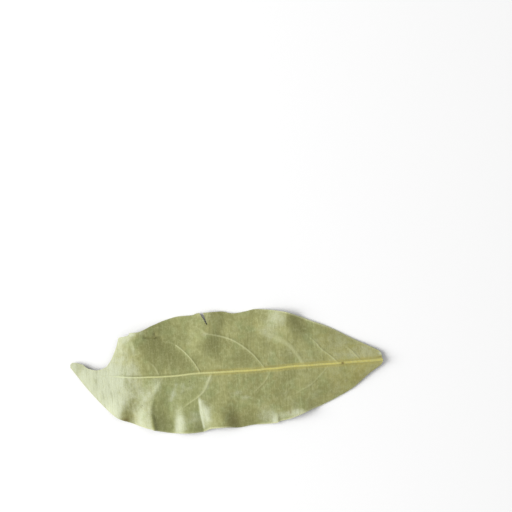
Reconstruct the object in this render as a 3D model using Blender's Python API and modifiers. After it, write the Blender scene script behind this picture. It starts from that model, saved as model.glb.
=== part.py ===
"""A dried bay leaf, lying with its underside up.

It is one solid, because it grew as one: the blade, the midrib that stands proud of it, and the
stub of the stalk. The leaf's frame has +X along the midrib from tip to base, +Y across the blade
and +Z up. The origin is on the surface that the leaf lies on, under the middle of its box.
Tables and named sizes are in millimetres. Blender's own unit is the metre.
"""

from math import atan2, sqrt

import bmesh
import bpy
import numpy as np
from mathutils import Vector

MM = 0.001

# Driving dimensions
TIP_X = -40.0
BASE_X = 40.0
BLADE_THICK = 0.3
MIDRIB_RISE = 0.45
MIDRIB_HALF_WIDTH = 0.5
MIDRIB_FADES_AT_X = -32.0

# The leaf lies like a shallow roof. Across it, height falls from the midrib to the eaves by this
# power of the share of the way out, so that the pleats fade towards the midrib.
ROOF_POWER = 1.7

# The mesh: columns run across the leaf and rows along it, and rows crowd in on the midrib.
COLUMNS = 76
ROWS = 22
ROW_CROWDING = 1.6

# Lines on the blade, as (x, y)
MIDRIB_LINE = [
    (-40.0, 4.0), (-37.5, 2.2), (-34.0, 0.9), (-29.6, 0.5), (-23.5, -0.1), (-15.2, -0.35),
    (-6.7, 0.0), (6.2, -0.1), (20.1, 0.25), (29.4, 0.3), (40.0, 0.45),
]
FAR_MARGIN = [
    (-40.0, 4.3), (-38.0, 6.0), (-27.2, 10.3), (-23.0, 11.3), (-18.5, 12.8), (-15.0, 14.0),
    (-11.5, 14.7), (-1.0, 15.35), (5.6, 14.85), (8.0, 15.35), (11.0, 15.1), (16.6, 14.1),
    (21.6, 11.8), (26.0, 9.9), (33.0, 6.0), (38.0, 3.4), (39.6, 2.4), (40.0, 1.6),
]
NEAR_MARGIN = [
    (-40.0, 3.4), (-38.6, 1.4), (-36.2, -2.0), (-29.8, -9.4), (-28.4, -10.5), (-21.5, -13.3),
    (-18.7, -14.3), (-10.5, -15.35), (-4.5, -14.3), (1.9, -14.6), (6.3, -14.1), (12.0, -13.9),
    (15.1, -13.2), (22.0, -10.8), (31.3, -6.6), (36.6, -2.6), (39.4, -0.8),
    (40.0, 0.1),
]

# A piece is missing from the far margin beside the tip: the hole that it left is an ellipse.
BITE_CENTRE = (-33.75, 9.85)
BITE_RADII = (6.4, 7.5)

# The roof's eaves: the margins without their dents, and without the bite.
FAR_EAVES = [
    (-40.0, 5.0), (-30.0, 9.4), (-20.0, 12.6), (-8.0, 15.1), (8.0, 15.2), (17.0, 13.8),
    (26.0, 9.9), (36.0, 4.5), (40.0, 2.8),
]
NEAR_EAVES = [
    (-40.0, 0.5), (-36.0, -3.0), (-29.0, -10.2), (-20.0, -13.9), (-8.0, -15.1), (6.0, -14.6),
    (15.0, -13.3), (22.0, -10.8), (31.3, -6.6), (38.0, -2.0), (40.0, -0.8),
]

# Heights along the leaf, as (x, z): the midrib's, and each row of eaves', where a pleat is a hump.
MIDRIB_HEIGHT = [
    (-40.0, 0.7), (-34.0, 1.2), (-26.0, 1.9), (-14.0, 2.4), (2.0, 2.55), (16.0, 2.45),
    (28.0, 2.0), (40.0, 0.95),
]
FAR_HEIGHT = [
    (-40.0, 0.55), (-34.0, 0.3), (-28.0, 1.1), (-22.3, 2.1), (-17.0, 1.0), (-12.0, 0.0),
    (-9.0, 0.0), (-3.5, 0.9), (1.5, 0.0), (7.7, 0.0), (12.0, 0.7), (16.2, 1.75), (20.6, 0.2),
    (24.0, 0.2), (30.0, 0.2), (40.0, 0.6),
]
NEAR_HEIGHT = [
    (-40.0, 0.55), (-34.5, 0.4), (-28.8, 1.5), (-25.0, 0.1), (-24.3, 0.1), (-19.7, 1.9),
    (-18.9, 1.3), (-15.2, 0.0), (-11.4, 1.3), (-7.0, 0.0), (-4.6, 1.1), (-2.6, 1.6), (2.8, 0.1),
    (6.0, 0.1), (12.2, 0.9), (13.0, 0.65), (16.0, 0.9), (19.5, 1.8), (24.5, 0.1), (28.0, 0.0),
    (40.0, 0.6),
]

# A pleat slants towards the base on its way in from the near margin, by this much in all.
PLEAT_SLANT = [(-40.0, 2.0), (-20.0, 2.5), (-10.0, 2.0), (0.0, -1.0), (16.0, -1.5), (40.0, 0.0)]

# The tear in the far margin: a slit that narrows to a point.
TEAR_MOUTH = (-5.6, 15.6)
TEAR_END = (-4.4, 12.1)
TEAR_WIDTH = 0.8
TEAR_CUTTER_HEIGHT = 20.0


def smooth(stations, x):
    """The values between (place, value) stations on a curve that never overshoots them."""
    place, value = np.array(stations).T
    slope = np.diff(value) / np.diff(place)
    before, after = slope[:-1], slope[1:]
    rising = before * after > 0
    tangent = np.concatenate(([slope[0]], np.zeros(len(before)), [slope[-1]]))
    tangent[1:-1][rising] = 2 * before[rising] * after[rising] / (before + after)[rising]
    left = np.clip(np.searchsorted(place, x, side="right") - 1, 0, len(slope) - 1)
    span = np.diff(place)[left]
    t = (x - place[left]) / span
    return (
        value[left] * (1 + 2 * t) * (1 - t) ** 2
        + value[left + 1] * t**2 * (3 - 2 * t)
        + tangent[left] * span * t * (1 - t) ** 2
        - tangent[left + 1] * span * t**2 * (1 - t)
    )


def far_margin(x):
    """The far margin's y: the leaf's own outline, or the edge of the bite where that is nearer."""
    across = (x - BITE_CENTRE[0]) / BITE_RADII[0]
    depth = np.sqrt(np.clip(1 - across**2, 0, None))
    bite = np.where(depth > 0, BITE_CENTRE[1] - BITE_RADII[1] * depth, np.inf)
    return np.minimum(smooth(FAR_MARGIN, x), bite)


def on_leaf(along, across):
    """The leaf's lower face, and each point's distance from the midrib: along runs 0 to 1 from tip
    to base, and across runs -1 to 1 from the near margin to the far one."""
    x = TIP_X + (BASE_X - TIP_X) * along
    rib_y = smooth(MIDRIB_LINE, x)
    margin_y = np.where(across > 0, far_margin(x), smooth(NEAR_MARGIN, x))
    from_rib = (margin_y - rib_y) * np.abs(across) ** ROW_CROWDING

    eaves_y = np.where(across > 0, smooth(FAR_EAVES, x), smooth(NEAR_EAVES, x))
    out = np.clip(from_rib / (eaves_y - rib_y), 0, 1)
    slant = smooth(PLEAT_SLANT, x) * (1 - out)
    near_z = smooth(NEAR_HEIGHT, np.clip(x - slant, TIP_X, BASE_X))
    eaves_z = np.where(across > 0, smooth(FAR_HEIGHT, x), near_z)
    share = out**ROOF_POWER
    z = smooth(MIDRIB_HEIGHT, x) * (1 - share) + eaves_z * share
    return x, rib_y + from_rib, z, np.abs(from_rib)


def thickness_at(x, from_rib):
    """The blade's thickness, with the midrib as a rounded ridge that tapers from base to tip."""
    taper = np.clip((x - MIDRIB_FADES_AT_X) / (BASE_X - MIDRIB_FADES_AT_X), 0, None)
    ridge = np.clip(1 - (from_rib / MIDRIB_HALF_WIDTH) ** 2, 0, None)
    return BLADE_THICK + MIDRIB_RISE * taper * ridge


def make_blade(collection, material):
    """The blade as an open sheet that Solidify thickens upwards, most along the midrib."""
    mesh = bpy.data.meshes.new("bay_leaf")
    sheet = bmesh.new()
    bmesh.ops.create_grid(sheet, x_segments=COLUMNS, y_segments=ROWS, size=1.0)
    grid = np.array([vertex.co for vertex in sheet.verts])
    x, y, z, from_rib = on_leaf((grid[:, 0] + 1) / 2, grid[:, 1])
    for vertex, place in zip(sheet.verts, np.column_stack((x, y, z)) * MM):
        vertex.co = place
    sheet.to_mesh(mesh)
    sheet.free()
    mesh.materials.append(material)
    mesh.shade_smooth()
    leaf = bpy.data.objects.new("bay_leaf", mesh)
    collection.objects.link(leaf)

    full_thickness = BLADE_THICK + MIDRIB_RISE
    group = leaf.vertex_groups.new(name="thickness")
    for index, thickness in enumerate(thickness_at(x, from_rib)):
        group.add([index], thickness / full_thickness, "REPLACE")

    shell = leaf.modifiers.new("thickness", "SOLIDIFY")
    shell.thickness = full_thickness * MM
    shell.offset = 1.0
    shell.vertex_group = group.name
    return leaf


def make_tear_cutter(collection):
    """A three-sided prism that stands in the far margin and points into the blade."""
    inwards = Vector(TEAR_END) - Vector(TEAR_MOUTH)
    middle = Vector(TEAR_MOUTH) + inwards / 3
    bpy.ops.mesh.primitive_cylinder_add(
        vertices=3,
        radius=MM,
        depth=TEAR_CUTTER_HEIGHT * MM,
        location=(middle.x * MM, middle.y * MM, 0),
        rotation=(0, 0, atan2(-inwards.x, inwards.y)),
        scale=(TEAR_WIDTH / sqrt(3), inwards.length / 1.5, 1),
    )
    cutter = bpy.context.object
    cutter.name = "tear_cutter"
    cutter.hide_render = True
    cutter.display_type = "WIRE"
    for owner in cutter.users_collection:
        owner.objects.unlink(cutter)
    collection.objects.link(cutter)
    return cutter


def make_material():
    """Dried leaf underside: pale sage, matt."""
    material = bpy.data.materials.new("dried_leaf")
    material.use_nodes = True
    shader = material.node_tree.nodes["Principled BSDF"]
    shader.inputs["Base Color"].default_value = (0.30, 0.32, 0.17, 1.0)
    shader.inputs["Roughness"].default_value = 0.6
    shader.inputs["Metallic"].default_value = 0.0
    return material


def make_collection(name):
    collection = bpy.data.collections.new(name)
    bpy.context.scene.collection.children.link(collection)
    return collection


for old in list(bpy.data.objects):
    bpy.data.objects.remove(old)

bay_leaf = make_blade(make_collection("dried_bay_leaf"), make_material())
tear = bay_leaf.modifiers.new("tear", "BOOLEAN")
tear.operation = "DIFFERENCE"
tear.object = make_tear_cutter(make_collection("cutters"))
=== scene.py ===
# %% [markdown]
# # A dried bay leaf, underside up
# One loose leaf that has dried in a jar. Drying has pulled its blade into pleats along one side and
# a fold along the other, a piece has been broken out beside the tip, and the far margin has torn.
# The underside shows: it is matt and pale, and the midrib and side veins stand proud of it.
#
# A leaf grows as one sheet, so it is modelled as one: a flat grid whose points are moved onto the
# leaf, then thickened. Cloth simulation could crumple a sheet too, but not into these very pleats.

# %% Open the frame
from math import radians

import bpy
import numpy as np
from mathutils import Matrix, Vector, kdtree, noise


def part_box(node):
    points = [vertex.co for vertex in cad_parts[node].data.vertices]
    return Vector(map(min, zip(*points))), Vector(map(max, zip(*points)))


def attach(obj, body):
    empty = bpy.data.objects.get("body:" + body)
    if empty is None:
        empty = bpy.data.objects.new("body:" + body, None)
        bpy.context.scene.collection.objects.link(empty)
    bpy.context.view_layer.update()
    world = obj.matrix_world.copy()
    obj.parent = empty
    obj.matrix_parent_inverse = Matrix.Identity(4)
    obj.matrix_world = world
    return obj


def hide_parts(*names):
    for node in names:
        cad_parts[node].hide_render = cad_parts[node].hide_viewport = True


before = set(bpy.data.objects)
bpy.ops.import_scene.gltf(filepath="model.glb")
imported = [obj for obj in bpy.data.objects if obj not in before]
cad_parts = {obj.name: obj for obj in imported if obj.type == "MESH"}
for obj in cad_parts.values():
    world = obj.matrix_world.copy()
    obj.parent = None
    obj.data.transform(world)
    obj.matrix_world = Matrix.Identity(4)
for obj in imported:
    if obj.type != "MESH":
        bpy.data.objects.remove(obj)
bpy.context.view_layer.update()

MM = 0.001
leaf_low, leaf_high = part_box("bay_leaf")
TIP_X = float(round(leaf_low.x / MM))
BASE_X = float(round(leaf_high.x / MM))
print("leaf runs from", TIP_X, "to", BASE_X, "mm, and is", round(leaf_high.z / MM, 2), "mm high")

# %% [markdown]
# ## Camera
# The leaf is looked at from straight above, from far enough away that it hardly foreshortens. The
# camera is turned a little, so that the leaf climbs to the right.

# %% Camera
# In millimetres
VIEW_CENTRE = (9.3, 29.0)
VIEW_WIDTH = 131.6
CAMERA_HEIGHT = 600.0

LEAF_CLIMBS = radians(3.64)

camera_data = bpy.data.cameras.new("camera")
camera_data.lens = camera_data.sensor_width * CAMERA_HEIGHT / VIEW_WIDTH
camera = bpy.data.objects.new("camera", camera_data)
bpy.context.scene.collection.objects.link(camera)
camera.location = Vector((*VIEW_CENTRE, CAMERA_HEIGHT)) * MM
camera.rotation_euler = (0, 0, -LEAF_CLIMBS)
bpy.context.scene.camera = camera
print("lens", round(camera_data.lens), "mm")

# %% [markdown]
# ## Floor
# The leaf lies on a plain near-white surface, which is a hair lower than the leaf, so that the two
# never share a plane. A curved backdrop would do too, but from above only its flat part shows.

# %% Floor
FLOOR_SIDE = 3.0  # in metres
FLOOR_DROP = 0.02 * MM
FLOOR_COLOUR = (0.9, 0.9, 0.9)
FLOOR_ROUGHNESS = 0.9


def plain_material(name, colour, roughness):
    material = bpy.data.materials.new(name)
    material.use_nodes = True
    shader = material.node_tree.nodes["Principled BSDF"]
    shader.inputs["Base Color"].default_value = (*colour, 1.0)
    shader.inputs["Roughness"].default_value = roughness
    return material


bpy.ops.object.select_all(action="DESELECT")
bpy.ops.mesh.primitive_plane_add(size=FLOOR_SIDE, location=(0, 0, -FLOOR_DROP))
floor = bpy.context.object
floor.name = "floor"
floor.data.materials.append(plain_material("floor", FLOOR_COLOUR, FLOOR_ROUGHNESS))
print("floor is", round(floor.dimensions.x, 1), "m wide")

# %% [markdown]
# ## Light
# Relief this shallow only shows when light rakes across it, so one large soft light stands low on
# the tip's side. A small lamp would rake as well, but would cut hard shadows. Pale surroundings
# fill the rest, and keep the pleats from going black.

# %% Light
LIGHT_TURN = radians(178)  # round from +X
LIGHT_CLIMB = radians(32)
LIGHT_DISTANCE = 1.0  # in metres, as its side is
LIGHT_SIDE = 0.75
LIGHT_POWER = 14.0  # in watts
SURROUNDINGS = 0.5
WHITE = (1.0, 1.0, 1.0, 1.0)

window = bpy.data.lights.new("window", "AREA")
window.shape = "SQUARE"
window.size = LIGHT_SIDE
window.energy = LIGHT_POWER
window_object = bpy.data.objects.new("window", window)
bpy.context.scene.collection.objects.link(window_object)
towards_light = Vector((
    np.cos(LIGHT_TURN) * np.cos(LIGHT_CLIMB),
    np.sin(LIGHT_TURN) * np.cos(LIGHT_CLIMB),
    np.sin(LIGHT_CLIMB),
))
window_object.location = towards_light * LIGHT_DISTANCE
window_object.rotation_euler = towards_light.to_track_quat("Z", "Y").to_euler()

world = bpy.data.worlds.new("surroundings")
world.use_nodes = True
background = world.node_tree.nodes["Background"]
background.inputs["Color"].default_value = WHITE
background.inputs["Strength"].default_value = SURROUNDINGS
bpy.context.scene.world = world
bpy.context.scene.view_settings.view_transform = "Standard"
print("light stands", round(LIGHT_DISTANCE / MM), "mm away")

# %% [markdown]
# ## Outline
# Two margins and the midrib between them, each a curve through a few points in millimetres along
# and across the leaf. Splines could join them too, but they swing past their points. This curve
# never does, so a corner stays a corner. The far margin has a round bite out of it beside the tip,
# and part of the near margin has creased into a small flap.

# %% Outline
MIDRIB_LINE = [
    (-40.0, 4.0), (-37.5, 2.2), (-34.0, 0.9), (-29.6, 0.5), (-23.5, -0.1), (-15.2, -0.35),
    (-6.7, 0.0), (6.2, -0.1), (20.1, 0.25), (29.4, 0.3), (40.0, 0.45),
]
FAR_MARGIN = [
    (-40.0, 4.3), (-38.0, 6.0), (-27.2, 10.2), (-24.7, 10.6), (-24.1, 11.3), (-22.8, 11.3),
    (-18.5, 12.8), (-15.0, 14.0), (-11.5, 14.7), (-8.0, 14.75), (-6.2, 15.2), (-1.0, 15.35),
    (2.6, 14.6), (5.6, 14.9), (8.0, 15.35), (11.0, 15.1), (16.0, 14.2), (17.2, 13.8),
    (21.6, 11.8), (26.0, 9.9), (33.0, 6.0), (38.0, 3.4), (39.1, 2.8), (39.65, 2.35),
    (39.92, 1.85), (40.0, 1.4),
]
NEAR_MARGIN = [
    (-40.0, 3.4), (-38.6, 1.4), (-36.2, -2.0), (-29.8, -9.4), (-28.4, -10.5), (-24.6, -12.0),
    (-21.9, -13.1), (-19.9, -13.75), (-19.5, -14.0), (-18.4, -14.3), (-14.6, -15.1),
    (-10.5, -15.35), (-7.0, -15.1), (-4.5, -14.4), (-1.5, -14.35), (1.9, -14.6), (6.3, -14.1),
    (12.1, -14.1), (12.5, -13.7), (15.1, -13.2), (22.0, -10.8), (31.3, -6.6), (36.6, -2.6),
    (38.8, -1.2), (39.5, -0.75), (39.85, -0.3), (40.0, 0.1),
]
BITE_EDGE = [
    (-40.0, 4.15), (-39.4, 4.6), (-37.0, 4.0), (-35.6, 2.9), (-33.25, 2.3), (-31.0, 2.9),
    (-29.75, 4.25), (-28.5, 6.5), (-27.5, 8.9), (-27.2, 10.2),
]


def smooth(stations, x):
    """The values between (place, value) stations on a curve that never overshoots them."""
    place, value = np.array(stations).T
    x = np.clip(x, place[0], place[-1])
    slope = np.diff(value) / np.diff(place)
    before, after = slope[:-1], slope[1:]
    rising = before * after > 0
    tangent = np.concatenate(([slope[0]], np.zeros(len(before)), [slope[-1]]))
    tangent[1:-1][rising] = 2 * before[rising] * after[rising] / (before + after)[rising]
    left = np.clip(np.searchsorted(place, x, side="right") - 1, 0, len(slope) - 1)
    span = np.diff(place)[left]
    t = (x - place[left]) / span
    return (
        value[left] * (1 + 2 * t) * (1 - t) ** 2
        + value[left + 1] * t**2 * (3 - 2 * t)
        + tangent[left] * span * t * (1 - t) ** 2
        - tangent[left + 1] * span * t**2 * (1 - t)
    )


def far_margin(x):
    """The far edge: the leaf's own margin, or the edge of the bite where that is nearer."""
    bite = np.where(x < BITE_EDGE[-1][0], smooth(BITE_EDGE, x), np.inf)
    return np.minimum(smooth(FAR_MARGIN, x), bite)


def near_margin(x):
    return smooth(NEAR_MARGIN, x)


STATION_STEP = 0.125
stations = np.linspace(TIP_X, BASE_X, int((BASE_X - TIP_X) / STATION_STEP) + 1)
print("widest", round(float((far_margin(stations) - near_margin(stations)).max()), 1), "mm")

# %% [markdown]
# ## The sheet
# The grid's columns run across the leaf and its rows along it. Rows crowd in on the midrib, where
# the relief is finest. Columns gather at each sharp crease, so that a few of them share its steep
# side. A finer grid all over would show as much, but with many times the points.

# %% Start the sheet as a grid
COLUMNS = 360
ROWS = 130
ROW_CROWDING = 1.25

# Where columns gather, as (side, x), with -1 for the near side and 1 for the far one.
GATHERINGS = [(-1, -19.75), (-1, 12.3), (1, 16.5)]
GATHER_REACH = 1.2
GATHER_SHARE = 0.7

# The notch in the stalk's end: its middle and half width as shares of the way from the midrib to
# the far margin, its depth, and how much of the leaf's end it takes up.
STALK_NOTCH_AT = 0.7
STALK_NOTCH_HALF_WIDTH = 0.35
STALK_NOTCH_DEPTH = 0.18
STALK_END = 1.0

bpy.ops.object.select_all(action="DESELECT")
bpy.ops.mesh.primitive_grid_add(x_subdivisions=COLUMNS, y_subdivisions=ROWS, size=2.0)
leaf = bpy.context.object
leaf.name = "dried_bay_leaf"
leaf.data.name = "dried_bay_leaf"


def read_points(mesh):
    points = np.empty(len(mesh.vertices) * 3)
    mesh.vertices.foreach_get("co", points)
    return points.reshape(-1, 3)


def place_on_blade(along, across):
    """Millimetres along and across the leaf, for grid places that each run -1 to 1."""
    x = (TIP_X + BASE_X) / 2 + (BASE_X - TIP_X) / 2 * along
    out = np.abs(across) ** ROW_CROWDING
    for side, crease_x in GATHERINGS:
        away = x - crease_x
        gather = GATHER_SHARE * np.exp(-(away / GATHER_REACH) ** 2) * out * (across * side > 0)
        x = x - away * gather
    rib_y = smooth(MIDRIB_LINE, x)
    margin_y = np.where(across > 0, far_margin(x), near_margin(x))
    y = rib_y + (margin_y - rib_y) * out
    notch = np.exp(-((out * np.sign(across) - STALK_NOTCH_AT) / STALK_NOTCH_HALF_WIDTH) ** 2)
    x = x - STALK_NOTCH_DEPTH * notch * np.clip((x - BASE_X) / STALK_END + 1, 0, 1)
    return x, y


print(len(leaf.data.vertices), "points in the flat grid")

# %% [markdown]
# ## The tear
# The far margin has torn, and left a wedge without any blade in it: wide at the margin, and ending
# in a point. A wedge could be cut out with a Boolean, which would leave ragged faces beside it.
# Instead, one column of the grid's faces is deleted from the margin in, and the columns beside it
# are drawn apart.

# %% The tear
TEAR_MOUTH = (-5.7, 15.2)
TEAR_END = (-4.4, 12.1)
TEAR_WIDTH = 0.9
TEAR_GIVES = 4.5  # how far the blade beside the tear gives way
TEAR_ACROSS = 0.85  # the grid place across the leaf where the tear's column is picked

columns = np.arange(COLUMNS + 1) * 2 / COLUMNS - 1
column_x = place_on_blade(columns, np.full(COLUMNS + 1, TEAR_ACROSS))[0]
TEAR_COLUMN = int(np.argmin(np.abs((column_x[:-1] + column_x[1:]) / 2 - TEAR_END[0])))


def share_of_tear(y):
    """0 inside the tear's end, rising to 1 at its mouth."""
    return np.clip((y - TEAR_END[1]) / (TEAR_MOUTH[1] - TEAR_END[1]), 0, None)


def open_tear(column, x, y):
    """The points beside the tear, drawn apart and leant along it."""
    before = column <= TEAR_COLUMN
    beyond = np.where(before, TEAR_COLUMN - column, column - TEAR_COLUMN - 1)
    cell = (BASE_X - TIP_X) / COLUMNS
    give = np.clip(1 - beyond * cell / TEAR_GIVES, 0, 1) ** 2
    lean = TEAR_MOUTH[0] - TEAR_END[0]
    half = (TEAR_WIDTH - cell) / 2 * np.where(before, -1, 1)
    return x + (lean + half) * share_of_tear(y) * give


grid = read_points(leaf.data)
centres = np.array([grid[list(face.vertices)].mean(axis=0) for face in leaf.data.polygons])
centre_y = place_on_blade(centres[:, 0], centres[:, 1])[1]
centre_column = np.floor((centres[:, 0] + 1) / 2 * COLUMNS)
torn = (centre_column == TEAR_COLUMN) & (share_of_tear(centre_y) > 0)

bpy.ops.object.mode_set(mode="EDIT")
bpy.ops.mesh.select_mode(type="FACE")
bpy.ops.mesh.select_all(action="DESELECT")
bpy.ops.object.mode_set(mode="OBJECT")
leaf.data.polygons.foreach_set("select", torn)
bpy.ops.object.mode_set(mode="EDIT")
bpy.ops.mesh.delete(type="FACE")
bpy.ops.object.mode_set(mode="OBJECT")
print(int(torn.sum()), "faces torn out")

# %% [markdown]
# ## Side veins and wrinkles
# Side veins leave the midrib and curve towards the tip. Each is a curve through a few points, and
# a short wrinkle by the tip is too. Tubes laid on the blade could stand for the veins, but they
# would look stuck on, so the blade itself is raised near each line, and sunk along a wrinkle.

# %% Lines on the blade
# Side veins, as their points outwards from the midrib, the half width at the midrib and at the
# end, and how strongly they show.
SIDE_VEINS = [
    ([(9.6, 0.3), (8.2, 2.2), (7.3, 3.4)], 0.13, 0.17, 0.8),
    ([(7.3, 3.4), (5.8, 4.9), (4.0, 6.4), (1.3, 8.1), (-3.0, 9.5), (-4.8, 9.9), (-6.0, 11.0),
      (-8.0, 11.9)], 0.2, 0.24, 0.72),
    ([(19.8, 0.5), (18.2, 3.0), (16.7, 5.2), (15.2, 6.4), (12.8, 7.9), (10.4, 8.9),
      (8.3, 10.6)], 0.35, 0.9, 0.42),
    ([(28.5, 0.5), (26.7, 2.2), (24.3, 4.3), (23.1, 5.8), (21.6, 7.3), (20.2, 8.6)],
     0.17, 0.14, 0.7),
    ([(34.3, 0.6), (32.2, 3.1), (30.1, 4.9)], 0.17, 0.15, 0.55),
    ([(-6.9, 0.2), (-7.75, 1.75), (-8.75, 3.4), (-10.75, 5.75), (-12.6, 7.4)], 0.14, 0.19, 0.95),
    ([(-12.6, 7.4), (-14.25, 8.25), (-16.5, 8.75)], 0.2, 0.2, 0.22),
    ([(-17.5, 0.2), (-18.25, 2.0), (-20.0, 4.0)], 0.2, 0.2, 0.4),
    ([(-4.1, -0.6), (-4.7, -1.9), (-5.6, -3.7), (-6.4, -4.9), (-7.6, -5.9), (-10.0, -7.4),
      (-12.4, -8.9), (-14.2, -9.4)], 0.25, 0.17, 0.55),
    ([(11.2, -0.4), (9.8, -2.8), (8.8, -3.8), (7.0, -5.3), (5.0, -6.6)], 0.2, 0.22, 0.3),
    ([(26.0, -0.2), (23.4, -2.8), (21.0, -4.8), (17.0, -6.8), (15.2, -8.1)], 0.17, 0.2, 0.32),
    ([(-16.4, -0.6), (-18.4, -3.2), (-21.5, -6.0)], 0.3, 0.2, 0.15),
    ([(34.0, -0.4), (31.5, -2.2), (28.6, -3.6)], 0.2, 0.2, 0.15),
]
# Wrinkles, as their points, their half width and their depth.
WRINKLES = [
    ([(-21.2, 9.9), (-18.6, 9.65), (-15.8, 9.6)], 0.38, 0.32),
    ([(-18.0, 9.8), (-17.9, 11.2)], 0.4, 0.15),
]
# Where a vein goes on as another, so that it doesn't fade.
VEIN_JOINS = [(7.3, 3.4), (-12.6, 7.4)]
print(len(SIDE_VEINS), "side veins and", len(WRINKLES), "wrinkles")

# %% [markdown]
# ## How near a line is
# Every mark that follows a line starts from the same question: how far is this point of the blade
# from it, and how far along? The lines are cut into short steps, and a tree of their places finds
# the nearest one fast. Trying every step for every point would take minutes.

# %% Distances to lines
LINE_STEP = 0.12
VEIN_FADES_OVER = 0.4  # the last share of a vein, where it fades out
WRINKLE_ENDS = 8  # how quickly a wrinkle starts and stops


def along_line(points):
    """Places every LINE_STEP along a line, which is rounded at its points."""
    points = np.array(points)
    reached = np.concatenate(([0], np.cumsum(np.hypot(*np.diff(points, axis=0).T))))
    steps = np.linspace(0, reached[-1], int(reached[-1] / LINE_STEP) + 2)
    x = smooth(np.column_stack((reached, points[:, 0])), steps)
    y = smooth(np.column_stack((reached, points[:, 1])), steps)
    return np.column_stack((x, y)), steps / reached[-1]


def nearest_on(lines, x, y):
    """For each point, how far it is from the nearest line, that line's number, and how far along it."""
    sampled = [along_line(points) for points in lines]
    places = np.concatenate([places for places, _ in sampled])
    shares = np.concatenate([shares for _, shares in sampled])
    numbers = np.concatenate([np.full(len(s), n) for n, (_, s) in enumerate(sampled)])
    tree = kdtree.KDTree(len(places))
    for index, (place_x, place_y) in enumerate(places):
        tree.insert((place_x, place_y, 0), index)
    tree.balance()
    found = [tree.find((px, py, 0)) for px, py in zip(x, y)]
    index = np.array([hit[1] for hit in found])
    distance = np.array([hit[2] for hit in found])
    return distance, numbers[index], shares[index]


def away_from_ends(share, quickness):
    """0 at a line's two ends, rising to 1 between them, sooner with more quickness."""
    return np.clip(quickness * share * (1 - share), 0, 1)


def side_vein_at(x, y):
    """How many half widths each point is from the nearest side vein, and how strongly that shows."""
    distance, number, share = nearest_on([vein[0] for vein in SIDE_VEINS], x, y)
    first, last, strength = np.array([vein[1:] for vein in SIDE_VEINS])[number].T
    fades = np.array([vein[0][-1] not in VEIN_JOINS for vein in SIDE_VEINS])[number]
    strength = strength * np.where(fades, np.clip((1 - share) / VEIN_FADES_OVER, 0, 1), 1)
    return distance / (first + (last - first) * share), strength


def wrinkle_at(x, y):
    """How deep a wrinkle is at each point, in millimetres."""
    distance, number, share = nearest_on([wrinkle[0] for wrinkle in WRINKLES], x, y)
    half_width, depth = np.array([wrinkle[1:] for wrinkle in WRINKLES])[number].T
    return depth * away_from_ends(share, WRINKLE_ENDS) * np.exp(-(distance / half_width) ** 2)


print("the first vein is cut into", len(along_line(SIDE_VEINS[0][0])[1]) - 1, "steps")

# %% [markdown]
# ## The roof
# A dried leaf lies like a shallow roof, with its midrib as the ridge. The blade falls away slowly
# at first and faster towards its margins. Bending a flat sheet with a modifier would give every
# part the same slope, so the fall is worked out for each point.

# %% The roof
ROOF_POWER = 1.7
# The ridge, as (x, height).
RIDGE_HEIGHT = [
    (-40.0, 0.7), (-34.0, 1.2), (-26.0, 1.9), (-14.0, 2.4), (2.0, 2.55), (16.0, 2.45), (28.0, 2.0),
    (40.0, 0.95),
]
# How far out the roof reaches: the margins without their dents, so that it has no steps.
FAR_EAVES = [
    (-40.0, 5.0), (-30.0, 9.4), (-20.0, 12.6), (-8.0, 15.1), (8.0, 15.2), (17.0, 13.8),
    (26.0, 9.9), (36.0, 4.5), (40.0, 2.8),
]
NEAR_EAVES = [
    (-40.0, 0.5), (-36.0, -3.0), (-29.0, -10.2), (-20.0, -13.9), (-8.0, -15.1), (6.0, -14.6),
    (15.0, -13.3), (22.0, -10.8), (31.3, -6.6), (38.0, -2.0), (40.0, -0.8),
]
# The blade at the eaves, as (x, height).
EDGE_HEIGHT = [(-40.0, 0.55), (-33.0, 0.3), (-29.0, 0.05), (28.0, 0.05), (40.0, 0.6)]


def roof_at(x, y):
    """The roof's height: the ridge's at the midrib, falling to the edge's at the eaves."""
    rib_y = smooth(MIDRIB_LINE, x)
    eaves_y = np.where(y > rib_y, smooth(FAR_EAVES, x), smooth(NEAR_EAVES, x))
    out = (y - rib_y) / (eaves_y - rib_y)
    share = np.clip(out, 0, 1) ** ROOF_POWER
    return smooth(RIDGE_HEIGHT, x) * (1 - share) + smooth(EDGE_HEIGHT, x) * share


print("ridge is", round(float(smooth(RIDGE_HEIGHT, stations).max()), 2), "mm high")

# %% [markdown]
# ## Pleats
# A leaf dries unevenly: the veins hold while the blade between them shrinks, and its margins
# buckle into pleats. Each is a wave that is highest at a margin and dies out inwards. Noise alone
# would pleat it anywhere, so each pleat has a crest of its own, and two slopes, soft or sharp.

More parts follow.
